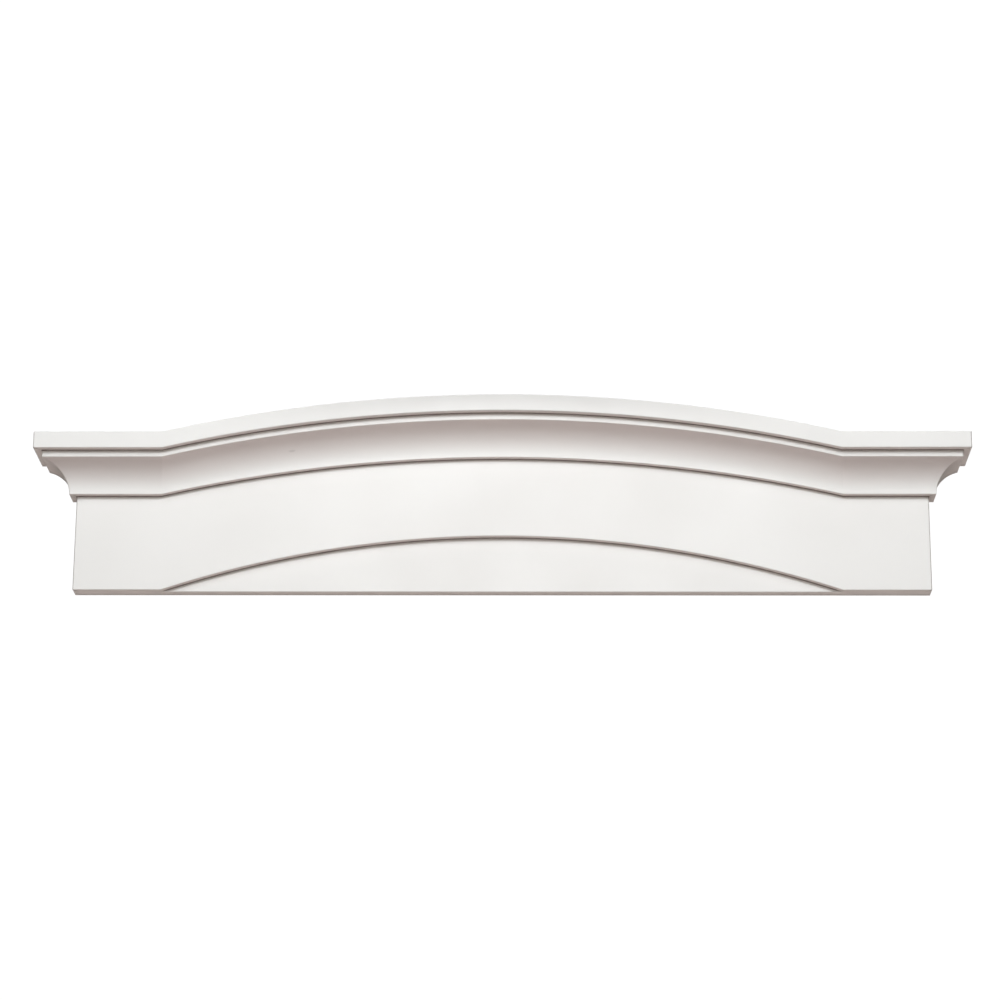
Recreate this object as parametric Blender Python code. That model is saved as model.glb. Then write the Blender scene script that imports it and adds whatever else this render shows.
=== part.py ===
"""Arched window crosshead: a frieze board with a recessed arched panel under a crown moulding.

Metres, +Z up, +X to the right, the wall is the plane y = 0 and the front looks towards -Y.
The origin is the middle of the flat back.
"""

import math

import bpy

# Frieze board
BOARD_WIDTH = 1.6256
BOARD_THICKNESS = 0.0381
BOARD_HEIGHT = 0.186

# Arched panel sunk into the foot of the board
PANEL_SPAN = 1.291
PANEL_RISE = 0.107
PANEL_DEPTH = 0.0138

# Crown moulding: how far each member stands out from the board, and how high it is
LIP_PROJECTION = 0.0132
FILLET_PROJECTION = 0.061
FASCIA_PROJECTION = 0.0762
COVE_HEIGHT = 0.0595
FILLET_HEIGHT = 0.0132
FASCIA_HEIGHT = 0.0323

# Arch of the crown: all members rise alike, and the knees close in a little towards the fascia
ARCH_RISE = 0.0745
ARCH_SPAN_AT_BOARD = 1.301
ARCH_SPAN_AT_FASCIA = 1.286

# Fineness of the round stretches
ARCH_STEPS = 64
COVE_STEPS = 12
PANEL_STEPS = 64

# How far the panel's cutter runs past the faces that it opens
CUTTER_MARGIN = 0.02

COATING_COLOUR = (0.86, 0.85, 0.83, 1.0)
COATING_ROUGHNESS = 0.5

CROWN_HEIGHT = COVE_HEIGHT + FILLET_HEIGHT + FASCIA_HEIGHT
FOOT_Z = -(BOARD_HEIGHT + CROWN_HEIGHT + ARCH_RISE) / 2
CROWN_Z = FOOT_Z + BOARD_HEIGHT


def clear_scene():
    for scene_object in list(bpy.data.objects):
        bpy.data.objects.remove(scene_object, do_unlink=True)


def segment_height(x, span, rise):
    """Height of a circular segment of this span and rise over its chord, at x from its middle."""
    half = span / 2
    radius = (half**2 + rise**2) / (2 * rise)
    return math.sqrt(radius**2 - x**2) - (radius - rise)


def cove_points(low, high):
    """Hollow quarter, plumb at its low end: points (projection, z) after low, up to high."""
    reach = high[0] - low[0]
    height = high[1] - low[1]
    radius = (reach**2 + height**2) / (2 * reach)
    sweep = math.atan2(height, radius - reach)
    points = []
    for step in range(1, COVE_STEPS):
        angle = sweep * step / COVE_STEPS
        points.append((low[0] + radius * (1 - math.cos(angle)), low[1] + radius * math.sin(angle)))
    return points + [high]


def crown_profile():
    """Section of the crown from the board's face up: (projection from the board, z) at the ends."""
    fillet_z = CROWN_Z + COVE_HEIGHT
    fascia_z = fillet_z + FILLET_HEIGHT
    lip = (LIP_PROJECTION, CROWN_Z)
    fillet = (FILLET_PROJECTION, fillet_z)
    return [
        (0.0, CROWN_Z),
        lip,
        *cove_points(lip, fillet),
        (FILLET_PROJECTION, fascia_z),
        (FASCIA_PROJECTION, fascia_z),
        (FASCIA_PROJECTION, fascia_z + FASCIA_HEIGHT),
    ]


def arch_span(projection):
    share = projection / FASCIA_PROJECTION
    return ARCH_SPAN_AT_BOARD + (ARCH_SPAN_AT_FASCIA - ARCH_SPAN_AT_BOARD) * share


def profile_row(projection, z, arched):
    """One line of the profile carried from the wall, round the left corner, along the front and back."""
    half_width = BOARD_WIDTH / 2 + projection
    front_y = -(BOARD_THICKNESS + projection)
    span = arch_span(projection)
    row = [(-half_width, 0.0, z), (-half_width, front_y, z)]
    for step in range(ARCH_STEPS + 1):
        x = span * (step / ARCH_STEPS - 0.5)
        lift = segment_height(x, span, ARCH_RISE) if arched else 0.0
        row.append((x, front_y, z + lift))
    return row + [(half_width, front_y, z), (half_width, 0.0, z)]


def add_mesh_object(name, vertices, faces):
    mesh = bpy.data.meshes.new(name)
    mesh.from_pydata(vertices, [], faces)
    mesh.update()
    made = bpy.data.objects.new(name, mesh)
    bpy.context.scene.collection.objects.link(made)
    return made


def add_casting():
    """Board and crown as one closed skin: the carried profile, then top, foot and flat back."""
    profile = [(0.0, FOOT_Z, False)] + [(out, z, True) for out, z in crown_profile()]
    rows = [profile_row(*member) for member in profile]
    columns = len(rows[0])
    vertices = [point for row in rows for point in row]
    faces = []
    for low in range(len(rows) - 1):
        for left in range(columns - 1):
            corner = low * columns + left
            faces.append((corner, corner + 1, corner + columns + 1, corner + columns))

    top = (len(rows) - 1) * columns
    back_start = len(vertices)
    vertices += [(x, 0.0, z) for x, _, z in rows[-1][2:-2]]
    back_row = [top, *range(back_start, len(vertices)), top + columns - 1]
    front_row = range(top + 1, top + columns - 1)
    for left in range(len(back_row) - 1):
        faces.append((front_row[left], front_row[left + 1], back_row[left + 1], back_row[left]))

    faces.append(tuple(range(columns - 1, -1, -1)))
    left_side = range(0, top, columns)
    right_side = range(top - 1, 0, -columns)
    faces.append((*left_side, *back_row, *right_side))
    return add_mesh_object("crosshead", vertices, faces)


def add_panel_cutter():
    """Circular segment that opens the arched panel to the front and through the foot."""
    front_y = -(BOARD_THICKNESS + CUTTER_MARGIN)
    back_y = -(BOARD_THICKNESS - PANEL_DEPTH)
    outline = [(-PANEL_SPAN / 2, FOOT_Z - CUTTER_MARGIN)]
    for step in range(PANEL_STEPS + 1):
        x = PANEL_SPAN * (step / PANEL_STEPS - 0.5)
        outline.append((x, FOOT_Z + segment_height(x, PANEL_SPAN, PANEL_RISE)))
    outline.append((PANEL_SPAN / 2, FOOT_Z - CUTTER_MARGIN))
    count = len(outline)
    vertices = [(x, y, z) for y in (front_y, back_y) for x, z in outline]
    faces = [tuple(range(count - 1, -1, -1)), tuple(range(count, 2 * count))]
    for first in range(count):
        after = (first + 1) % count
        faces.append((first, after, count + after, count + first))
    cutter = add_mesh_object("panel_cutter", vertices, faces)
    cutter.hide_render = True
    cutter.display_type = "WIRE"
    return cutter


def sink_panel(casting, cutter):
    cut = casting.modifiers.new("arched_panel", "BOOLEAN")
    cut.operation = "DIFFERENCE"
    cut.solver = "EXACT"
    cut.object = cutter


def coat(casting):
    """White moulded finish, flat in tone and slightly warm."""
    material = bpy.data.materials.new("white_coating")
    material.use_nodes = True
    shader = material.node_tree.nodes["Principled BSDF"]
    shader.inputs["Base Color"].default_value = COATING_COLOUR
    shader.inputs["Roughness"].default_value = COATING_ROUGHNESS
    shader.inputs["Metallic"].default_value = 0.0
    casting.data.materials.append(material)


def main():
    clear_scene()
    casting = add_casting()
    sink_panel(casting, add_panel_cutter())
    coat(casting)


main()
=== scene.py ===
"""Arched window crosshead: one white casting for the head of a wide window, and its studio.

Laid out as an add-on and run as a script. Metres, +Z up, +X to the right. The wall is the plane
y = 0, the front looks towards -Y and the origin is the middle of the flat back.
"""

import math
from typing import NamedTuple

import bmesh
import bpy
import numpy as np
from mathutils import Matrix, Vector


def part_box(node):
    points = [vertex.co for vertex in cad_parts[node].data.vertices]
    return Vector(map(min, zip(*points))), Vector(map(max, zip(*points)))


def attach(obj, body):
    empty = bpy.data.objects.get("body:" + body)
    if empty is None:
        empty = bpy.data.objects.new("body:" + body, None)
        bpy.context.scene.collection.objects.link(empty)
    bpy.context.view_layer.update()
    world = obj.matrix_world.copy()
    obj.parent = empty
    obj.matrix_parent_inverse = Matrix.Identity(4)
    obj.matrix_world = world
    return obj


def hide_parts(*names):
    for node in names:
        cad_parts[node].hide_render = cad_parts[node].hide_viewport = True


bl_info = {
    "name": "Arched Window Crosshead",
    "version": (1, 0, 0),
    "blender": (4, 5, 0),
    "location": "View3D > Sidebar > Crosshead",
    "description": "Models a cast window crosshead with an arched crown and panel, and lights it",
    "category": "Object",
}

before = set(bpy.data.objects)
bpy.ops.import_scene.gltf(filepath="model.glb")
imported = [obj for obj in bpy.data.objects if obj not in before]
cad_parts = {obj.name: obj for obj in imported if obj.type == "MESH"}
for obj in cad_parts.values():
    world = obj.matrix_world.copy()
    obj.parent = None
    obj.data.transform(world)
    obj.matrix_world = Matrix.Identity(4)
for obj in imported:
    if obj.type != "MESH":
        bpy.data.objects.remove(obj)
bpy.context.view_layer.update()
CASTING_LOW, CASTING_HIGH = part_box("crosshead")
CASTING_SIZE = CASTING_HIGH - CASTING_LOW

# Fineness of the round stretches of the section and of the front
ARC_STEPS = 5
COVE_STEPS = 26
CORNER_STEPS = 6
ARCH_STEPS = 168

# Most of a flat that one rounded corner and its guard row may take up
ARC_SHARE = 0.3
GUARD_SHARE = 0.15

# Distance under which two points of the skin are one
MERGE_DISTANCE = 2e-6

# Length under which a vector has no direction
TINY = 1e-9

# Edges that turn more than this stay sharp
SHARP_ANGLE = math.radians(35)

# Strength of the painted shade at the foot of the arch's fascia, with 1 at its top
ARCH_TOP_SHADE_AT_FOOT = 0.3

# The strip along the wall over which the primer gives way to the bare back
BARE_EDGE = (-0.0006, -0.0001)

# Features to the metre of each pattern
CLOUD_SCALE = 5.0
SPECK_SCALE = 1300.0
# Patches in the painted shade of the inner corners
CREASE_SHADE_SCALE = 60.0
STREAK_SCALE = 900.0
PEEL_SCALE = 420.0
GRAIN_SCALE = 2400.0
PORE_SCALE = 380.0
MOTTLE_SCALE = 1.5

# Values of each pattern between which its share changes from one end to the other
CLOUD_BAND = (0.42, 0.68)
GLOSS_BAND = (0.35, 0.7)
SPECK_BAND = (0.62, 0.78)
# Patchiness of the painted shade in the inner corners
CREASE_SHADE_BAND = (0.3, 0.7)
STREAK_BAND = (0.35, 0.6)
PORE_BAND = (0.12, 0.30)

# Most of each colour that is mixed into the primer, and the least and most where it is patchy
THIN_SHARE = 0.4
SPECK_SHARE = 0.3
# Lighter outer edges: partly wear, partly painted highlight
WORN_AND_HIGHLIT_SHARE = 0.35
# Painted shade on the upright corners
CORNER_SHARE = 0.5
# Painted shade on the undersides by the wall
WALL_SHADE_SHARE = 0.5
# Least and most of the patchy painted shade in the inner corners
CREASE_SHADE_SHARES = (0.86, 1.0)
STREAK_SHARES = (0.35, 1.0)

# The scuff is full within the first share of its half size and gone at the second
SCUFF_BAND = (0.3, 1.0)

# How far the painted shade under the casting reaches from the wall
WALL_SHADE_REACH = 0.02

# Z of the normal where a face starts to count as looking down, and where it does so fully
DOWN_BAND = (-0.2, -0.9)

# Height of the grain and of the pores against that of the orange peel, and the bump of all three
GRAIN_RELIEF = 0.35
PORE_RELIEF = 2.5
BUMP_STRENGTH = 0.12
BUMP_DISTANCE = 0.0006

PRIMER_IOR = 1.47

# Tone of the darkest mottle on the floor, as a share of the floor's colour, and its roughness
MOTTLE_TONE = 0.96
FLOOR_ROUGHNESS = 0.8

# Height of the floor, and the middles of what the two wash lights cover on it
FLOOR_LEVEL = -2.28
REAR_FLOOR = (0.0, 4.4, FLOOR_LEVEL)
FRONT_FLOOR = (0.0, -5.0, FLOOR_LEVEL)

# Z of the direction between which the light all around changes from the lower to the upper
WORLD_BAND = (-0.6, 0.6)

# Sockets A and B and the result of the Mix node, for each kind of data
MIX_SOCKETS = {"FLOAT": (2, 3, 0), "RGBA": (6, 7, 2)}


class SoftLight(NamedTuple):
    """A soft light by its place and its aim, seen from the casting's origin.

    The azimuth is to the right of the front and the elevation upwards, both in degrees, as is the
    spread. Distance, width, height and aim are in metres and the power is in watts.
    """

    name: str
    azimuth: float
    elevation: float
    distance: float
    width: float
    height: float
    power: float
    spread: float = 180
    aim: tuple = (0.0, 0.0, 0.0)
    tint: tuple = (1.0, 1.0, 1.0)


SOFT_LIGHTS = (
    SoftLight("key", 0, 23, 5.4, 1.1, 1.5, 156),
    SoftLight("left_fill", -40, 30, 5.4, 1.1, 1.1, 52),
    SoftLight("right_fill", 40, 30, 5.4, 1.1, 1.1, 47),
    SoftLight("low_fill", 0, -15, 1.55, 0.6, 0.6, 1.3, tint=(1.0, 0.75, 0.66)),
    SoftLight("left_rear", -140, 25, 5.4, 1.6, 1.6, 6, spread=50),
    SoftLight("right_rear", 140, 25, 5.4, 1.6, 1.6, 6, spread=50),
    SoftLight("rear_wash", 180, 38, 5.6, 9.0, 5.0, 230, 80, REAR_FLOOR, (1.0, 0.96, 0.92)),
    SoftLight("front_wash", 0, 34.6, 6.07, 7.0, 3.0, 54, 60, FRONT_FLOOR, (1.0, 0.94, 0.9)),
)


class CastingSizes(bpy.types.PropertyGroup):
    """Sizes of the casting. The overall ones come from the frame."""

    width: bpy.props.FloatProperty(
        name="Width",
        description="Length of the crown from end to end",
        default=CASTING_SIZE.x,
        min=0.5,
        unit="LENGTH",
        precision=4,
    )
    depth: bpy.props.FloatProperty(
        name="Depth",
        description="How far the fascia stands out from the wall",
        default=CASTING_SIZE.y,
        min=0.05,
        unit="LENGTH",
        precision=4,
    )
    height: bpy.props.FloatProperty(
        name="Height",
        description="From the foot of the board to the top of the arch",
        default=CASTING_SIZE.z,
        min=0.1,
        unit="LENGTH",
        precision=4,
    )
    fascia_projection: bpy.props.FloatProperty(
        name="Fascia Projection",
        description="How far the fascia stands out from the board, in front and at both ends",
        default=0.0762,
        min=0.01,
        unit="LENGTH",
        precision=4,
    )
    fillet_projection: bpy.props.FloatProperty(
        name="Fillet Projection",
        description="How far the fillet over the cove stands out from the board",
        default=0.061,
        min=0.01,
        unit="LENGTH",
        precision=4,
    )
    lip_projection: bpy.props.FloatProperty(
        name="Lip Projection",
        description="How far the foot of the cove stands out from the board",
        default=0.0132,
        min=0.001,
        unit="LENGTH",
        precision=4,
    )
    cove_height: bpy.props.FloatProperty(
        name="Cove Height",
        description="From the lip to the fillet",
        default=0.0595,
        min=0.005,
        unit="LENGTH",
        precision=4,
    )
    fillet_height: bpy.props.FloatProperty(
        name="Fillet Height",
        description="Height of the narrow band between the cove and the fascia",
        default=0.0132,
        min=0.002,
        unit="LENGTH",
        precision=4,
    )
    fascia_height: bpy.props.FloatProperty(
        name="Fascia Height",
        description="Height of the flat band at the top",
        default=0.0323,
        min=0.005,
        unit="LENGTH",
        precision=4,
    )
    arch_rise: bpy.props.FloatProperty(
        name="Arch Rise",
        description="How far the middle of the crown rises over its ends",
        default=0.0745,
        min=0.005,
        unit="LENGTH",
        precision=4,
    )
    arch_span_at_board: bpy.props.FloatProperty(
        name="Arch Span at Board",
        description="Distance between the knees of the arch, against the board",
        default=1.301,
        min=0.1,
        unit="LENGTH",
        precision=4,
    )
    arch_span_at_fascia: bpy.props.FloatProperty(
        name="Arch Span at Fascia",
        description="Distance between the knees of the arch, along the fascia",
        default=1.286,
        min=0.1,
        unit="LENGTH",
        precision=4,
    )
    panel_span: bpy.props.FloatProperty(
        name="Panel Span",
        description="Length of the sunk panel along the foot of the board",
        default=1.291,
        min=0.1,
        unit="LENGTH",
        precision=4,
    )
    panel_rise: bpy.props.FloatProperty(
        name="Panel Rise",
        description="Height of the sunk panel in the middle",
        default=0.107,
        min=0.005,
        unit="LENGTH",
        precision=4,
    )
    panel_depth: bpy.props.FloatProperty(
        name="Panel Depth",
        description="How far the panel lies behind the board's face",
        default=0.0138,
        min=0.001,
        unit="LENGTH",
        precision=4,
    )
    arris_radius: bpy.props.FloatProperty(
        name="Arris Radius",
        description="Rounding of the outer edges",
        default=0.0012,
        min=0.0001,
        unit="LENGTH",
        precision=4,
    )
    lip_radius: bpy.props.FloatProperty(
        name="Lip Radius",
        description="Rounding of the lip at the foot of the cove",
        default=0.0026,
        min=0.0001,
        unit="LENGTH",
        precision=4,
    )
    corner_radius: bpy.props.FloatProperty(
        name="Corner Radius",
        description="Rounding of the upright corners between the front and the returns",
        default=0.002,
        min=0.0001,
        unit="LENGTH",
        precision=4,
    )
    crease_radius: bpy.props.FloatProperty(
        name="Crease Radius",
        description="Rounding of the inner corners",
        default=0.0008,
        min=0.0001,
        unit="LENGTH",
        precision=4,
    )
    guard: bpy.props.FloatProperty(
        name="Guard Width",
        description="Width of the narrow strips beside the rounded edges that keep the flats flat",
        default=0.0015,
        min=0.0001,
        unit="LENGTH",
        precision=4,
    )


class CoatingFinish(bpy.types.PropertyGroup):
    """Look of the factory primer."""

    colour: bpy.props.FloatVectorProperty(
        name="Colour",
        description="Colour of the primer on the faces",
        subtype="COLOR",
        size=4,
        min=0.0,
        max=1.0,
        default=(0.872, 0.853, 0.828, 1.0),
    )
    thin_colour: bpy.props.FloatVectorProperty(
        name="Thin Colour",
        description="Colour where the primer lies a little thinner",
        subtype="COLOR",
        size=4,
        min=0.0,
        max=1.0,
        default=(0.842, 0.821, 0.795, 1.0),
    )
    # Painted shade: this colour darkens the inner corners, the upright corners and the undersides
    # by the wall
    painted_shade_colour: bpy.props.FloatVectorProperty(
        name="Crease Colour",
        description="Colour of the dust in the inner corners, by the wall and on upright corners",
        subtype="COLOR",
        size=4,
        min=0.0,
        max=1.0,
        default=(0.205, 0.155, 0.138, 1.0),
    )
    back_colour: bpy.props.FloatVectorProperty(
        name="Back Colour",
        description="Colour of the bare moulded back",
        subtype="COLOR",
        size=4,
        min=0.0,
        max=1.0,
        default=(0.78, 0.745, 0.67, 1.0),
    )
    # Lighter outer edges: partly wear, partly painted highlight
    arris_wear_and_highlight_colour: bpy.props.FloatVectorProperty(
        name="Arris Colour",
        description="Colour of the outer edges, where handling has rubbed the primer smooth",
        subtype="COLOR",
        size=4,
        min=0.0,
        max=1.0,
        default=(0.90, 0.892, 0.88, 1.0),
    )
    # Painted shade: a warmer, darker colour on faces that look down, as if lit by warm light from
    # below
    under_shade_colour: bpy.props.FloatVectorProperty(
        name="Hollow Colour",
        description="Colour of the primer under the mouldings, where it is a little browner",
        subtype="COLOR",
        size=4,
        min=0.0,
        max=1.0,
        default=(0.815, 0.725, 0.705, 1.0),
    )
    # Painted shade: darkens the fascia towards the top of the arch
    arch_top_shade_colour: bpy.props.FloatVectorProperty(
        name="Veil Colour",
        description="Colour of the faint grey veil along the top of the arch",
        subtype="COLOR",
        size=4,
        min=0.0,
        max=1.0,
        default=(0.66, 0.64, 0.618, 1.0),
    )
    scuff_colour: bpy.props.FloatVectorProperty(
        name="Scuff Colour",
        description="Colour of the faint scuff in the cove",
        subtype="COLOR",
        size=4,
        min=0.0,
        max=1.0,
        default=(0.67, 0.625, 0.605, 1.0),
    )
    scuff_place: bpy.props.FloatVectorProperty(
        name="Scuff Place",
        description="Middle of the scuff, on the cove left of the arch's top",
        default=(-0.4007, -0.0633, 0.0858),
        size=3,
        subtype="TRANSLATION",
        unit="LENGTH",
    )
    scuff_size: bpy.props.FloatVectorProperty(
        name="Scuff Size",
        description="Length, depth and height of the scuff",
        default=(0.017, 0.02, 0.005),
        size=3,
        subtype="XYZ",
        unit="LENGTH",
    )
    scuff_tilt: bpy.props.FloatProperty(
        name="Scuff Tilt",
        description="How far the scuff leans along the arch",
        default=math.radians(8),
        unit="ROTATION",
    )
    roughness_range: bpy.props.FloatVectorProperty(
        name="Roughness Range",
        description="Least and most roughness of the primer on the faces",
        default=(0.42, 0.52),
        size=2,
        min=0.0,
        max=1.0,
    )
    bare_roughness: bpy.props.FloatProperty(
        name="Bare Roughness",
        description="Roughness of the bare back",
        subtype="FACTOR",
        min=0.0,
        max=1.0,
        default=0.75,
    )


class StudioSettings(bpy.types.PropertyGroup):
    """Floor, light and camera."""

    floor_level: bpy.props.FloatProperty(
        name="Floor Level",
        description="Height of the floor, for a casting mounted over a window at its usual height",
        default=FLOOR_LEVEL,
        unit="LENGTH",
    )
    floor_width: bpy.props.FloatProperty(
        name="Floor Width",
        description="Length of each side of the floor",
        default=11.0,
        min=1.0,
        unit="LENGTH",
    )
    floor_colour: bpy.props.FloatVectorProperty(
        name="Floor Colour",
        description="Colour of the plain floor",
        subtype="COLOR",
        size=4,
        min=0.0,
        max=1.0,
        default=(0.64, 0.61, 0.58, 1.0),
    )
    ground_strength: bpy.props.FloatProperty(
        name="Ground Strength",
        description="Brightness of the white ground that the camera sees",
        default=1.05,
        min=0.0,
    )
    sky_strength: bpy.props.FloatProperty(
        name="Sky Strength",
        description="Light that comes from straight above",
        default=0.08,
        min=0.0,
    )
    bounce_strength: bpy.props.FloatProperty(
        name="Bounce Strength",
        description="Light that comes from straight below",
        default=0.06,
        min=0.0,
    )
    bounce_colour: bpy.props.FloatVectorProperty(
        name="Bounce Colour",
        description="Colour of the light that comes from all around",
        subtype="COLOR",
        size=4,
        min=0.0,
        max=1.0,
        default=(1.0, 0.86, 0.79, 1.0),
    )
    lamp_colour: bpy.props.FloatVectorProperty(
        name="Lamp Colour",
        description="Colour of the soft lights",
        subtype="COLOR",
        size=3,
        min=0.0,
        max=1.0,
        default=(0.94, 0.98, 1.0),
    )
    lamp_strength: bpy.props.FloatProperty(
        name="Lamp Strength",
        description="Brightness of all soft lights together",
        subtype="FACTOR",
        min=0.0,
        max=4.0,
        default=1.04,
    )
    lens: bpy.props.FloatProperty(
        name="Lens",
        description="Focal length in millimetres on a 36 mm wide sensor",
        default=114.551,
        min=1.0,
        subtype="DISTANCE_CAMERA",
    )
    camera_place: bpy.props.FloatVectorProperty(
        name="Camera Place",
        description="Where the camera stands, below the casting and in front of it",
        default=(0.1189, -5.8090, -1.8740),
        size=3,
        subtype="TRANSLATION",
        unit="LENGTH",
    )
    camera_turn: bpy.props.FloatVectorProperty(
        name="Camera Turn",
        description="How the camera is turned, about X, then Y, then Z",
        default=(math.radians(107.94688), math.radians(-0.34865), math.radians(1.09892)),
        size=3,
        subtype="EULER",
        unit="ROTATION",
    )


class Levels(NamedTuple):
    """Heights and half widths that follow from the casting's sizes."""

    half_width: float
    thickness: float
    foot: float
    crown: float
    fillet: float
    fascia: float
    top: float


class Stations(NamedTuple):
    """Places along the casting, from the left end of the wall, round the front, to the right end.

    side is -1 on the left return, 1 on the right one and 0 under the arch, share is the place as a
    share of the arch's half span, and shift and setback move the place along X and back towards
    the wall. on_wall marks the two ends, and corner is 1 on the round of an upright corner.
    """

    side: np.ndarray
    share: np.ndarray
    shift: np.ndarray
    setback: np.ndarray
    on_wall: np.ndarray
    corner: np.ndarray


class Turn(NamedTuple):
    """One corner of the section: its points at all stations, its rounding, and what it shows.

    crease, arris and veil are shares of the painted shade in the inner corners, of the lighter
    outer edges (partly wear, partly painted highlight) and of the painted shade at the top of the
    arch, one for all stations or one for each. upright is 1 where the painted shade on the upright
    corners shows.
    """

    points: np.ndarray
    radius: float = 0.0
    crease: float = 0.0
    arris: float = 0.0
    arch_top_shade: float = 0.0
    upright: float = 0.0


def levels_of(sizes):
    """Half width and thickness of the board, and the heights at the straight ends of the crown."""
    foot = CASTING_LOW.z
    top = foot + sizes.height - sizes.arch_rise
    fascia = top - sizes.fascia_height
    fillet = fascia - sizes.fillet_height
    return Levels(
        half_width=sizes.width / 2 - sizes.fascia_projection,
        thickness=sizes.depth - sizes.fascia_projection,
        foot=foot,
        crown=fillet - sizes.cove_height,
        fillet=fillet,
        fascia=fascia,
        top=top,
    )


def segment_height(x, span, rise):
    """Height over its chord of a circular segment, at x from the middle.

    radius = (half span squared + rise squared) / (2 rise) and the height is the square root of
    (radius squared - x squared), less (radius - rise). Outside the span it is nothing.
    """
    half = span / 2
    radius = (half**2 + rise**2) / (2 * rise)
    inside = np.sqrt(np.maximum(radius**2 - x**2, 0.0)) - (radius - rise)
    return np.where(np.abs(x) < half, np.maximum(inside, 0.0), 0.0)


def arch_span(sizes, projection):
    """Distance between the knees: it changes evenly from the board to the fascia."""
    share = np.maximum(projection, 0.0) / sizes.fascia_projection
    change = sizes.arch_span_at_fascia - sizes.arch_span_at_board
    return sizes.arch_span_at_board + change * share


def arch_shares(sizes):
    """Places under the arch as shares of its half span, even but for the folds.

    The knees and the two tips of the panel have a place each, with one a guard's width beside it.
    """
    guard = 2 * sizes.guard / sizes.arch_span_at_board
    tip = sizes.panel_span / sizes.arch_span_at_board
    folds = np.array([1 - guard, tip + guard, tip, tip - guard])
    even = np.linspace(-1, 1, ARCH_STEPS + 1)
    clear = np.abs(np.abs(even)[:, None] - folds).min(axis=1) > guard / 2
    return np.unique(np.concatenate([even[clear], folds, -folds]))


def corner_stations(sizes, side):
    """One return and its rounded upright corner, from the wall to the front.

    The corner is a quarter circle: at the angle a its shift is radius (1 - cos a) inwards and its
    setback is radius (1 - sin a).
    """
    radius = sizes.corner_radius
    angle = np.linspace(0, math.pi / 2, CORNER_STEPS + 1)
    inwards = np.concatenate([[0, 0], radius * (1 - np.cos(angle)), [radius + sizes.guard]])
    setback = np.concatenate([[0, radius + sizes.guard], radius * (1 - np.sin(angle)), [0]])
    on_wall = np.arange(len(inwards)) == 0
    corner = np.concatenate([[0, 0], np.ones(CORNER_STEPS), [0, 0]])
    sides = np.full(len(inwards), side)
    return Stations(sides, np.zeros(len(inwards)), -side * inwards, setback, on_wall, corner)


def all_stations(sizes):
    """Left return, left straight end, arch, right straight end and right return."""
    shares = arch_shares(sizes)
    shares = np.concatenate([[-1.0], shares, [1.0]])
    shift = np.zeros(len(shares))
    shift[[0, -1]] = -sizes.guard, sizes.guard
    none = np.zeros(len(shares))
    arch = Stations(none, shares, shift, none, none.astype(bool), none)
    left = corner_stations(sizes, -1.0)
    right = Stations(*(part[::-1] for part in corner_stations(sizes, 1.0)))
    return Stations(*(np.concatenate(parts) for parts in zip(left, arch, right)))


def line_at(stations, sizes, projection, height, arched=True):
    """A line of the section at all stations: projection, and height with the arch's lift."""
    span = arch_span(sizes, projection)
    under_arch = (stations.side == 0) & arched
    lift = segment_height(stations.share * span / 2, span, sizes.arch_rise) * under_arch
    return np.stack([np.full(len(lift), projection), height + lift])


def panel_heights(stations, sizes):
    """Height of the sunk panel over the foot at each station, nothing beyond its tips."""
    x = stations.share * sizes.arch_span_at_board / 2
    return segment_height(x, sizes.panel_span, sizes.panel_rise) * (stations.side == 0)


def cove_lines(stations, sizes, levels):
    """Hollow quarter between lip and fillet, plumb at the lip.

    radius = (reach squared + height squared) / (2 reach); at the angle a the projection is the
    lip's plus radius (1 - cos a) and the height is the crown's foot plus radius sin a.
    """
    reach = sizes.fillet_projection - sizes.lip_projection
    height = sizes.cove_height
    radius = (reach**2 + height**2) / (2 * reach)
    sweep = math.atan2(height, radius - reach)
    angles = sweep * np.arange(1, COVE_STEPS) / COVE_STEPS
    out = sizes.lip_projection + radius * (1 - np.cos(angles))
    up = levels.crown + radius * np.sin(angles)
    return [Turn(line_at(stations, sizes, *place)) for place in zip(out, up)]


def section_turns(stations, sizes, levels):
    """All corners of the section, from under the board to the top of the crown.

    The veil, a painted shade, is (1 - share squared) squared, so it is full at the arch's top and
    gone at its knees.
    """
    panel = panel_heights(stations, sizes)
    shown = np.clip(panel / (2 * sizes.arris_radius), 0.0, 1.0)
    arch_top_shade = (1 - stations.share**2) ** 2 * (stations.side == 0)
    sunk = -sizes.panel_depth
    lip = sizes.lip_projection
    fillet = sizes.fillet_projection
    fascia = sizes.fascia_projection
    outer = sizes.arris_radius
    inner = sizes.crease_radius

    def line(projection, height, arched=True):
        return line_at(stations, sizes, projection, height, arched)

    start = line(2 * sunk, levels.foot, arched=False)
    foot = line(sunk, levels.foot, arched=False)
    panel_top = line(sunk, levels.foot + panel, arched=False)
    panel_edge = line(0.0, levels.foot + panel, arched=False)
    fascia_foot = line(fascia, levels.fascia)
    fascia_top = line(fascia, levels.top)
    return [
        Turn(start),
        Turn(foot, outer, arris=shown),
        Turn(panel_top, inner, crease=shown),
        Turn(panel_edge, outer, arris=1.0, upright=1.0),
        Turn(line(0.0, levels.crown), inner, crease=1.0, upright=1.0),
        Turn(line(lip, levels.crown), sizes.lip_radius, arris=1.0),
        *cove_lines(stations, sizes, levels),
        Turn(line(fillet, levels.fillet), outer, arris=1.0),
        Turn(line(fillet, levels.fascia), inner, crease=1.0),
        Turn(fascia_foot, outer, arris=1.0, arch_top_shade=ARCH_TOP_SHADE_AT_FOOT * arch_top_shade, upright=1.0),
        Turn(fascia_top, outer, arris=1.0, arch_top_shade=arch_top_shade, upright=1.0),
        Turn(line(fillet, levels.top)),
    ]


def directions(vectors):
    """Unit vectors and lengths, with a vector of no length left as it is."""
    length = np.hypot(*vectors)
    return vectors / np.where(length > TINY, length, 1.0), length


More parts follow.
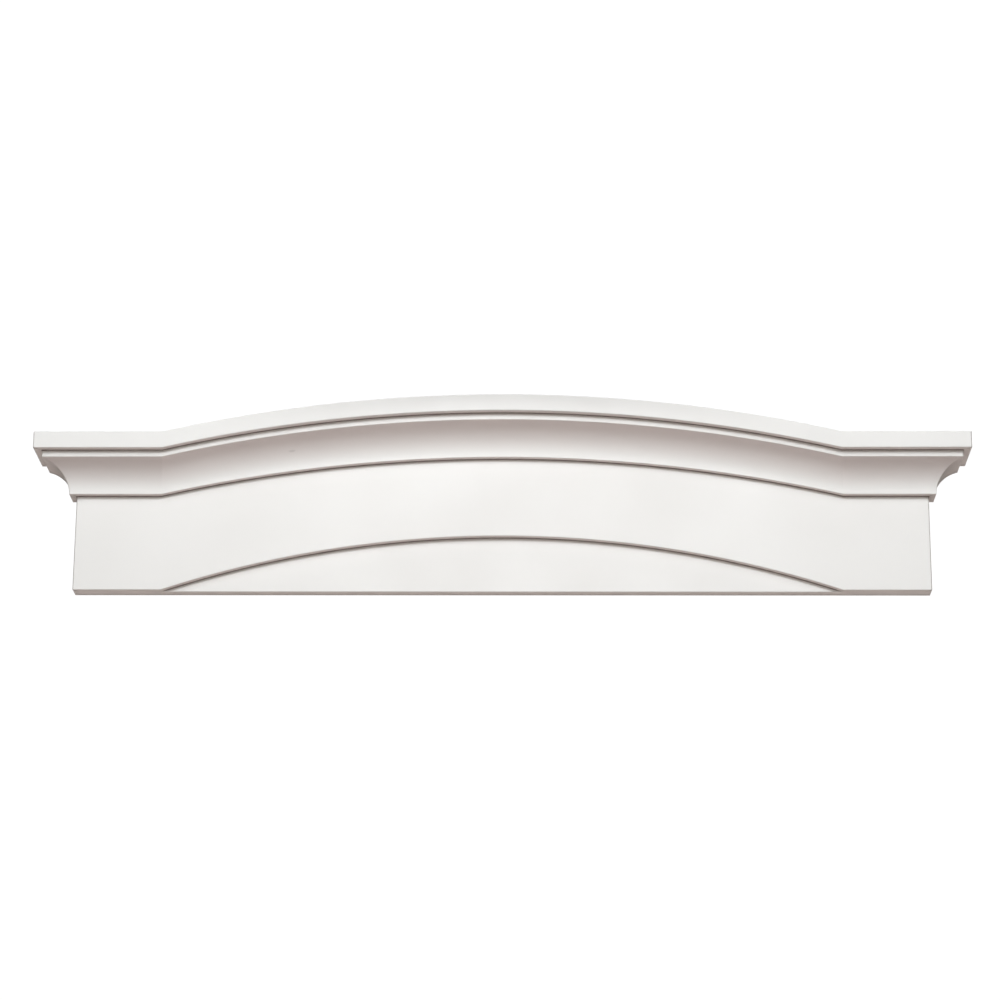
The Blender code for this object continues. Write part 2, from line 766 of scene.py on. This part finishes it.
def rounded_rows(before, corner, after, radius, guard):
    """Rows that lay an arc into one corner of the section, and a guard row on each flat beside it.

    With a and c the unit directions from the corner to its neighbours and t the angle between
    them, the arc leaves the flats at reach = radius / tan (t / 2), and its centre lies
    reach / cos (t / 2) from the corner on their bisector. With s and e from the centre to the
    arc's ends and w = pi - t, its point f is the centre plus
    (s sin ((1 - f) w) + e sin (f w)) / sin w. No reach takes more than its share of a flat.
    """
    a, a_length = directions(before - corner)
    c, c_length = directions(after - corner)
    shorter = np.minimum(a_length, c_length)
    angle = np.arccos(np.clip((a * c).sum(axis=0), -1.0, 1.0))
    reach = np.minimum(radius / np.tan(angle / 2), ARC_SHARE * shorter)
    bisector, _ = directions(a + c)
    centre = corner + bisector * reach / np.cos(angle / 2)
    start = corner + a * reach - centre
    end = corner + c * reach - centre
    turn = math.pi - angle
    f = np.linspace(0, 1, ARC_STEPS + 1)[:, None, None]
    arc = centre + (start * np.sin((1 - f) * turn) + end * np.sin(f * turn)) / np.sin(turn)
    guard_a = corner + a * (reach + np.minimum(guard, GUARD_SHARE * a_length))
    guard_c = corner + c * (reach + np.minimum(guard, GUARD_SHARE * c_length))
    return np.concatenate([guard_a[None], arc, guard_c[None]])


def section_rows(stations, sizes, levels):
    """The whole section at all stations: rows of (projection, height), and what each row shows.

    The painted shade in the inner corners and the lighter arrises show on the rounding alone, the
    painted shade at the top of the arch and on the upright corners on the guard rows too, but not
    on the last row, where the flat top starts.
    """
    turns = section_turns(stations, sizes, levels)
    rows = []
    shares = {"crease": [], "arris": [], "arch_top_shade": [], "corner": []}
    on_arc = np.ones(ARC_STEPS + 3)
    on_arc[[0, -1]] = 0.0
    for before, here, after in zip(turns, turns[1:], turns[2:]):
        if here.radius:
            made = rounded_rows(before.points, here.points, after.points, here.radius, sizes.guard)
            rounding = on_arc
        else:
            made = here.points[None]
            rounding = np.zeros(1)
        rows.append(made)
        all_rows = np.ones(len(made))
        for name, weight, share in (
            ("crease", rounding, here.crease),
            ("arris", rounding, here.arris),
            ("arch_top_shade", all_rows, here.arch_top_shade),
            ("corner", all_rows, here.upright * stations.corner),
        ):
            shares[name].append(np.outer(weight, np.broadcast_to(share, len(stations.side))))
    shares = {name: np.concatenate(parts) for name, parts in shares.items()}
    shares["arch_top_shade"][-1] = shares["corner"][-1] = 0.0
    return np.concatenate(rows), shares


def skin_points(stations, sizes, levels, rows):
    """Places of the skin from the section, carried along the returns and the front.

    x = side (half width + projection) + share of half the arch's span + shift, and
    y = -(thickness + projection) + setback, or nothing at the wall.
    """
    projection = rows[:, 0]
    half_span = arch_span(sizes, projection) / 2
    x = stations.side * (levels.half_width + projection)
    x = x + stations.share * half_span + stations.shift
    y = -(levels.thickness + projection) + stations.setback
    y = np.where(stations.on_wall, 0.0, y)
    return np.stack([x, y, rows[:, 1]], axis=-1)


def skin_faces(row_count, station_count):
    """Quads between neighbouring rows and stations, facing outwards."""
    index = np.arange(row_count * station_count).reshape(row_count, station_count)
    corners = index[:-1, :-1], index[:-1, 1:], index[1:, 1:], index[1:, :-1]
    return np.stack(corners, axis=-1).reshape(-1, 4).tolist()


def closing_faces(row_count, station_count, first, last, back_start):
    """Faces that close the skin: the top in strips and two flat ends, the foot and the back.

    first and last are the stations between which the top is laid in strips, and the line where
    those strips meet the wall starts at the point back_start.
    """
    top = (row_count - 1) * station_count
    front = np.arange(top + first, top + last + 1)
    back = back_start + np.arange(len(front))
    strips = np.stack([front[:-1], front[1:], back[1:], back[:-1]], axis=-1).tolist()
    left_end = [*range(top, top + first + 1), back_start]
    right_end = [*range(top + last, top + station_count), int(back[-1])]
    foot = list(range(station_count - 1, -1, -1))
    left_edge = range(0, top + 1, station_count)
    right_edge = range(top + station_count - 1, 0, -station_count)
    wall = [*left_edge, *back.tolist(), *right_edge]
    return [*strips, left_end, right_end, foot, wall]


def point_attribute(mesh, name, values):
    """Writes one value for each point under this name, for the material to read."""
    attribute = mesh.attributes.new(name, "FLOAT", "POINT")
    attribute.data.foreach_set("value", np.ascontiguousarray(values, np.float32).ravel())


def merge_doubles(mesh):
    """Joins the points that rows with no height put in one place."""
    shape = bmesh.new()
    shape.from_mesh(mesh)
    bmesh.ops.remove_doubles(shape, verts=shape.verts, dist=MERGE_DISTANCE)
    bmesh.ops.dissolve_degenerate(shape, edges=shape.edges, dist=MERGE_DISTANCE)
    shape.to_mesh(mesh)
    shape.free()


def casting_mesh(sizes):
    """The casting as one closed skin, with the attributes crease, arris, veil and corner, which
    place painted shade and lighter edges.

    The points come from skin_points and are held within the frame's own box.
    """
    levels = levels_of(sizes)
    stations = all_stations(sizes)
    rows, shares = section_rows(stations, sizes, levels)
    points = skin_points(stations, sizes, levels, rows)
    row_count, station_count = points.shape[:2]

    on_arch = np.flatnonzero(stations.side == 0)
    first, last = int(on_arch[0]), int(on_arch[-1])
    back = points[-1, first : last + 1] * (1.0, 0.0, 1.0)
    vertices = np.concatenate([points.reshape(-1, 3), back])
    vertices = np.clip(vertices, CASTING_LOW, CASTING_HIGH)
    faces = skin_faces(row_count, station_count)
    faces += closing_faces(row_count, station_count, first, last, row_count * station_count)

    mesh = bpy.data.meshes.new("crosshead_casting")
    mesh.from_pydata(vertices.tolist(), [], faces)
    for name, share in shares.items():
        point_attribute(mesh, name, np.concatenate([share.ravel(), np.zeros(len(back))]))
    merge_doubles(mesh)
    mesh.shade_smooth()
    mesh.set_sharp_from_angle(angle=SHARP_ANGLE)
    return mesh


def add_node(nodes, kind, place, **settings):
    """New node at this place in the editor, with any further settings."""
    node = nodes.new(kind)
    node.location = place
    for name, value in settings.items():
        setattr(node, name, value)
    return node


def noise(tree, vector, scale, detail, place):
    """Noise of this many features to the metre, read at the object's own coordinates."""
    made = add_node(tree.nodes, "ShaderNodeTexNoise", place)
    made.inputs["Scale"].default_value = scale
    made.inputs["Detail"].default_value = detail
    tree.links.new(vector, made.inputs["Vector"])
    return made.outputs["Fac"]


def map_range(tree, value, source, target, place):
    """The value taken evenly from one range to the other and held between its ends."""
    made = add_node(tree.nodes, "ShaderNodeMapRange", place)
    made.inputs["From Min"].default_value = source[0]
    made.inputs["From Max"].default_value = source[1]
    made.inputs["To Min"].default_value = target[0]
    made.inputs["To Max"].default_value = target[1]
    tree.links.new(value, made.inputs["Value"])
    return made.outputs["Result"]


def feed(tree, socket, value):
    """Links the value to the socket if it is a socket too, and else sets it there."""
    if isinstance(value, bpy.types.NodeSocket):
        tree.links.new(value, socket)
    else:
        socket.default_value = value


def mix(tree, kind, factor, first, second, place):
    """Mix of two numbers (FLOAT) or colours (RGBA), each a socket or a plain value.

    The factor goes into the node's first socket.
    """
    made = add_node(tree.nodes, "ShaderNodeMix", place, data_type=kind)
    at_first, at_second, result = MIX_SOCKETS[kind]
    feed(tree, made.inputs[at_first], first)
    feed(tree, made.inputs[at_second], second)
    tree.links.new(factor, made.inputs[0])
    return made.outputs[result]


def mix_shaders(tree, factor, first, second, place):
    """Mix of two shaders, by a factor from 0 for the first to 1 for the second."""
    made = add_node(tree.nodes, "ShaderNodeMixShader", place)
    for socket, source in zip(made.inputs, (factor, first, second)):
        tree.links.new(source, socket)
    return made.outputs["Shader"]


def arithmetic(tree, operation, first, second, place):
    """Math node on two inputs, each a socket or a plain value."""
    made = add_node(tree.nodes, "ShaderNodeMath", place, operation=operation)
    feed(tree, made.inputs[0], first)
    feed(tree, made.inputs[1], second)
    return made.outputs["Value"]


def attribute_value(tree, name, place):
    """Value that the mesh carries under this name."""
    made = add_node(tree.nodes, "ShaderNodeAttribute", place, attribute_name=name)
    return made.outputs["Fac"]


def scuff_share(tree, coordinates, finish):
    """1 in the middle of the scuff and 0 outside it, an oval in the casting's own coordinates."""
    oval = add_node(tree.nodes, "ShaderNodeMapping", (-1500, -900), vector_type="TEXTURE")
    oval.inputs["Location"].default_value = finish.scuff_place
    oval.inputs["Rotation"].default_value = (0.0, -finish.scuff_tilt, 0.0)
    oval.inputs["Scale"].default_value = [size / 2 for size in finish.scuff_size]
    tree.links.new(coordinates, oval.inputs["Vector"])
    reach = add_node(tree.nodes, "ShaderNodeVectorMath", (-1300, -900), operation="LENGTH")
    tree.links.new(oval.outputs["Vector"], reach.inputs[0])
    inside = map_range(tree, reach.outputs["Value"], SCUFF_BAND, (1.0, 0.0), (-1100, -900))
    streaks = noise(tree, coordinates, STREAK_SCALE, 2.0, (-1300, -1100))
    patchy = map_range(tree, streaks, STREAK_BAND, STREAK_SHARES, (-1100, -1100))
    return arithmetic(tree, "MULTIPLY", inside, patchy, (-900, -950))


def back_share(tree, coordinates):
    """1 on the bare back and 0 on the primed faces, by the distance from the wall."""
    parts = add_node(tree.nodes, "ShaderNodeSeparateXYZ", (-1500, -1350))
    tree.links.new(coordinates, parts.inputs["Vector"])
    return map_range(tree, parts.outputs["Y"], BARE_EDGE, (0.0, 1.0), (-1300, -1350))


def down_share(tree):
    """0 on upright faces and 1 on those that look straight down."""
    facing = add_node(tree.nodes, "ShaderNodeNewGeometry", (-1900, 1300)).outputs["Normal"]
    parts = add_node(tree.nodes, "ShaderNodeSeparateXYZ", (-1700, 1300))
    tree.links.new(facing, parts.inputs["Vector"])
    return map_range(tree, parts.outputs["Z"], DOWN_BAND, (0.0, 1.0), (-1500, 1300))


def wall_shade_share(tree, coordinates, down):
    """Painted shade on faces that look down: it grows with the square of how near the wall a point
    is.
    """
    parts = add_node(tree.nodes, "ShaderNodeSeparateXYZ", (-1500, 1500))
    tree.links.new(coordinates, parts.inputs["Vector"])
    reach = -WALL_SHADE_REACH, 0.0
    near = map_range(tree, parts.outputs["Y"], reach, (0.0, 1.0), (-1300, 1500))
    near = arithmetic(tree, "POWER", near, 2.0, (-1100, 1500))
    under = arithmetic(tree, "MULTIPLY", down, WALL_SHADE_SHARE, (-1100, 1300))
    return arithmetic(tree, "MULTIPLY", near, under, (-900, 1400))


def pore_depth(tree, coordinates):
    """0 in the small round pores of bare foam and 1 between them, by the nearest point."""
    cells = add_node(tree.nodes, "ShaderNodeTexVoronoi", (-1500, -1600))
    cells.inputs["Scale"].default_value = PORE_SCALE
    tree.links.new(coordinates, cells.inputs["Vector"])
    return map_range(tree, cells.outputs["Distance"], PORE_BAND, (0.0, 1.0), (-1300, -1600))


def primer_colour(tree, coordinates, clouds, bare, finish):
    """The primer with clouds, specks and the scuff, lighter edges (partly wear, partly painted
    highlight) and painted shade.

    Each layer lies over those before it, and the foam's own colour over all of them behind.
    """
    thin = map_range(tree, clouds, CLOUD_BAND, (0.0, THIN_SHARE), (-1200, 500))
    specks = noise(tree, coordinates, SPECK_SCALE, 1.0, (-1500, 700))
    speckled = map_range(tree, specks, SPECK_BAND, (0.0, SPECK_SHARE), (-1200, 700))
    # Faces that look down get painted shade, warm under the mouldings and dark by the wall
    down = down_share(tree)
    # Painted shade at the top of the arch
    arch_top_shade = attribute_value(tree, "arch_top_shade", (-1500, 900))
    # Lighter outer edges: partly wear, partly painted highlight
    edge = attribute_value(tree, "arris", (-1500, 300))
    worn_and_highlit = arithmetic(tree, "MULTIPLY", edge, WORN_AND_HIGHLIT_SHARE, (-1200, 300))
    # Painted shade in the inner corners, a little patchy
    crease = attribute_value(tree, "crease", (-1500, 100))
    painted_shade = noise(tree, coordinates, CREASE_SHADE_SCALE, 3.0, (-1500, -50))
    painted_shade = map_range(tree, painted_shade, CREASE_SHADE_BAND, CREASE_SHADE_SHARES, (-1200, -50))
    crease_shade = arithmetic(tree, "MULTIPLY", crease, painted_shade, (-950, 50))
    # Painted shade on the rounded upright corners, which turn away from the light
    corner = attribute_value(tree, "corner", (-1500, 1100))
    corner_shade = arithmetic(tree, "MULTIPLY", corner, CORNER_SHARE, (-1200, 1100))
    # Painted shade on the undersides near the wall
    wall_shade = wall_shade_share(tree, coordinates, down)
    scuffed = scuff_share(tree, coordinates, finish)

    layers = (
        (thin, finish.thin_colour, (-800, 500)),
        (speckled, finish.thin_colour, (-650, 500)),
        (down, finish.under_shade_colour, (-500, 500)),
        (arch_top_shade, finish.arch_top_shade_colour, (-350, 500)),
        (worn_and_highlit, finish.arris_wear_and_highlight_colour, (-200, 500)),
        (crease_shade, finish.painted_shade_colour, (-50, 500)),
        (corner_shade, finish.painted_shade_colour, (100, 500)),
        (wall_shade, finish.painted_shade_colour, (250, 500)),
        (scuffed, finish.scuff_colour, (400, 500)),
        (bare, finish.back_colour, (550, 500)),
    )
    colour = finish.colour
    for share, over, place in layers:
        colour = mix(tree, "RGBA", share, colour, over, place)
    return colour


def primer_relief(tree, coordinates, bare, shader):
    """Orange peel and fine grain on the primer, pores on the bare back, as one bump."""
    peel = noise(tree, coordinates, PEEL_SCALE, 2.0, (-1100, -500))
    grain = noise(tree, coordinates, GRAIN_SCALE, 1.0, (-1100, -700))
    fine = arithmetic(tree, "MULTIPLY", grain, GRAIN_RELIEF, (-850, -700))
    primed = arithmetic(tree, "ADD", peel, fine, (-650, -550))
    pores = pore_depth(tree, coordinates)
    pores = arithmetic(tree, "MULTIPLY", pores, PORE_RELIEF, (-850, -1500))
    height = mix(tree, "FLOAT", bare, primed, pores, (-350, -700))
    bump = add_node(tree.nodes, "ShaderNodeBump", (-100, -600))
    bump.inputs["Strength"].default_value = BUMP_STRENGTH
    bump.inputs["Distance"].default_value = BUMP_DISTANCE
    tree.links.new(height, bump.inputs["Height"])
    tree.links.new(bump.outputs["Normal"], shader.inputs["Normal"])


def primer_material(finish):
    """White factory primer on moulded foam, satin, with a bare back."""
    material = bpy.data.materials.new("white_primer")
    material.use_nodes = True
    tree = material.node_tree
    shader = tree.nodes["Principled BSDF"]
    shader.location = (750, 200)
    tree.nodes["Material Output"].location = (1050, 200)
    coordinates = add_node(tree.nodes, "ShaderNodeTexCoord", (-1900, 0)).outputs["Object"]
    clouds = noise(tree, coordinates, CLOUD_SCALE, 3.0, (-1500, 500))
    bare = back_share(tree, coordinates)

    colour = primer_colour(tree, coordinates, clouds, bare, finish)
    tree.links.new(colour, shader.inputs["Base Color"])
    primed = map_range(tree, clouds, GLOSS_BAND, finish.roughness_range, (-1200, -250))
    dull = arithmetic(tree, "MULTIPLY", bare, finish.bare_roughness, (-950, -300))
    roughness = arithmetic(tree, "MAXIMUM", primed, dull, (-650, -250))
    tree.links.new(roughness, shader.inputs["Roughness"])
    primer_relief(tree, coordinates, bare, shader)
    shader.inputs["Metallic"].default_value = 0.0
    shader.inputs["IOR"].default_value = PRIMER_IOR
    return material


def floor_material(studio):
    """Plain matt floor with a faint mottle, one-sided so that it doesn't hide the casting."""
    material = bpy.data.materials.new("pale_floor")
    material.use_nodes = True
    tree = material.node_tree
    shader = tree.nodes["Principled BSDF"]
    coordinates = add_node(tree.nodes, "ShaderNodeTexCoord", (-1000, 0)).outputs["Object"]
    mottle = noise(tree, coordinates, MOTTLE_SCALE, 4.0, (-800, 0))
    darker = [MOTTLE_TONE * value for value in studio.floor_colour[:3]] + [1.0]
    colour = mix(tree, "RGBA", mottle, studio.floor_colour, darker, (-500, 0))
    tree.links.new(colour, shader.inputs["Base Color"])
    shader.inputs["Roughness"].default_value = FLOOR_ROUGHNESS
    under_side = add_node(tree.nodes, "ShaderNodeNewGeometry", (100, 300)).outputs["Backfacing"]
    clear = add_node(tree.nodes, "ShaderNodeBsdfTransparent", (100, -500)).outputs["BSDF"]
    surface = mix_shaders(tree, under_side, shader.outputs["BSDF"], clear, (400, 0))
    output = tree.nodes["Material Output"]
    output.location = (600, 0)
    tree.links.new(surface, output.inputs["Surface"])
    return material


def link_object(name, data):
    """New object in the scene, at the origin."""
    made = bpy.data.objects.new(name, data)
    bpy.context.scene.collection.objects.link(made)
    return made


def add_floor(studio):
    """Square floor: x and y run evenly over its width at the floor's level."""
    ends = np.array([-0.5, 0.5]) * studio.floor_width
    x, y = np.meshgrid(ends, ends)
    points = np.stack([x, y, np.full_like(x, studio.floor_level)], axis=-1).reshape(-1, 3)
    mesh = bpy.data.meshes.new("studio_floor")
    mesh.from_pydata(points.tolist(), [], [(0, 1, 3, 2)])
    mesh.materials.append(floor_material(studio))
    floor = link_object("studio_floor", mesh)


def add_soft_light(soft, studio):
    """One soft light that the camera doesn't see.

    At the azimuth a and the elevation e it stands at distance (sin a cos e, -cos a cos e, sin e).
    """
    light = bpy.data.lights.new(soft.name, "AREA")
    light.shape = "RECTANGLE"
    light.size = soft.width
    light.size_y = soft.height
    light.energy = soft.power * studio.lamp_strength
    light.color = [colour * tint for colour, tint in zip(studio.lamp_colour, soft.tint)]
    light.spread = math.radians(soft.spread)
    made = link_object(soft.name, light)
    made.visible_camera = False
    azimuth = math.radians(soft.azimuth)
    elevation = math.radians(soft.elevation)
    flat = soft.distance * math.cos(elevation)
    x = flat * math.sin(azimuth)
    y = -flat * math.cos(azimuth)
    made.location = (x, y, soft.distance * math.sin(elevation))
    made.rotation_euler = (Vector(soft.aim) - made.location).to_track_quat("-Z", "Y").to_euler()


def set_world(studio):
    """White ground for the camera, and for all else a dim light that differs below and above."""
    world = bpy.data.worlds.new("studio")
    world.use_nodes = True
    bpy.context.scene.world = world
    tree = world.node_tree
    tree.nodes.clear()
    direction = add_node(tree.nodes, "ShaderNodeTexCoord", (-900, 0)).outputs["Generated"]
    parts = add_node(tree.nodes, "ShaderNodeSeparateXYZ", (-700, 0))
    tree.links.new(direction, parts.inputs["Vector"])
    strengths = studio.bounce_strength, studio.sky_strength
    fall = map_range(tree, parts.outputs["Z"], WORLD_BAND, strengths, (-450, 0))
    around = add_node(tree.nodes, "ShaderNodeBackground", (-200, 0))
    around.inputs["Color"].default_value = studio.bounce_colour
    tree.links.new(fall, around.inputs["Strength"])
    ground = add_node(tree.nodes, "ShaderNodeBackground", (-200, -200))
    ground.inputs["Color"].default_value = (1.0, 1.0, 1.0, 1.0)
    ground.inputs["Strength"].default_value = studio.ground_strength
    seen = add_node(tree.nodes, "ShaderNodeLightPath", (-200, 400)).outputs["Is Camera Ray"]
    backgrounds = [node.outputs["Background"] for node in (around, ground)]
    surface = mix_shaders(tree, seen, *backgrounds, (100, 0))
    output = add_node(tree.nodes, "ShaderNodeOutputWorld", (400, 0))
    tree.links.new(surface, output.inputs["Surface"])


def add_camera(studio):
    """Camera below the casting, looking up at it as the photograph does."""
    data = bpy.data.cameras.new("camera")
    data.lens = studio.lens
    camera = link_object("camera", data)
    camera.location = studio.camera_place
    camera.rotation_euler = studio.camera_turn
    bpy.context.scene.camera = camera


class CROSSHEAD_OT_add_casting(bpy.types.Operator):
    """Add the casting with its primer in place of the plain solid"""

    bl_idname = "crosshead.add_casting"
    bl_label = "Add Casting"
    bl_options = {"REGISTER", "UNDO"}

    def execute(self, context):
        mesh = casting_mesh(context.scene.crosshead_sizes)
        mesh.materials.append(primer_material(context.scene.crosshead_finish))
        casting = link_object("crosshead_casting", mesh)
        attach(casting, "root")
        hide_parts("crosshead")
        return {"FINISHED"}


class CROSSHEAD_OT_add_studio(bpy.types.Operator):
    """Add the floor, the soft lights, the white ground and the camera"""

    bl_idname = "crosshead.add_studio"
    bl_label = "Add Studio"
    bl_options = {"REGISTER", "UNDO"}

    def execute(self, context):
        studio = context.scene.crosshead_studio
        add_floor(studio)
        for soft in SOFT_LIGHTS:
            add_soft_light(soft, studio)
        set_world(studio)
        add_camera(studio)
        context.scene.view_settings.view_transform = "Standard"
        return {"FINISHED"}


class CROSSHEAD_PT_sidebar(bpy.types.Panel):
    """The casting and its studio"""

    bl_idname = "CROSSHEAD_PT_sidebar"
    bl_label = "Window Crosshead"
    bl_space_type = "VIEW_3D"
    bl_region_type = "UI"
    bl_category = "Crosshead"

    def draw(self, context):
        groups = (
            (CROSSHEAD_OT_add_casting, context.scene.crosshead_sizes),
            (CROSSHEAD_OT_add_casting, context.scene.crosshead_finish),
            (CROSSHEAD_OT_add_studio, context.scene.crosshead_studio),
        )
        for operator, settings in groups:
            box = self.layout.box()
            box.operator(operator.bl_idname)
            for name in settings.__annotations__:
                box.prop(settings, name)


CLASSES = (
    CastingSizes,
    CoatingFinish,
    StudioSettings,
    CROSSHEAD_OT_add_casting,
    CROSSHEAD_OT_add_studio,
    CROSSHEAD_PT_sidebar,
)


def register():
    for kind in CLASSES:
        bpy.utils.register_class(kind)
    bpy.types.Scene.crosshead_sizes = bpy.props.PointerProperty(type=CastingSizes)
    bpy.types.Scene.crosshead_finish = bpy.props.PointerProperty(type=CoatingFinish)
    bpy.types.Scene.crosshead_studio = bpy.props.PointerProperty(type=StudioSettings)


def unregister():
    del bpy.types.Scene.crosshead_studio
    del bpy.types.Scene.crosshead_finish
    del bpy.types.Scene.crosshead_sizes
    for kind in reversed(CLASSES):
        bpy.utils.unregister_class(kind)


def main():
    """Registers the add-on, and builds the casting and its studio."""
    register()
    bpy.ops.crosshead.add_casting()
    bpy.ops.crosshead.add_studio()


if __name__ == "__main__":
    main()
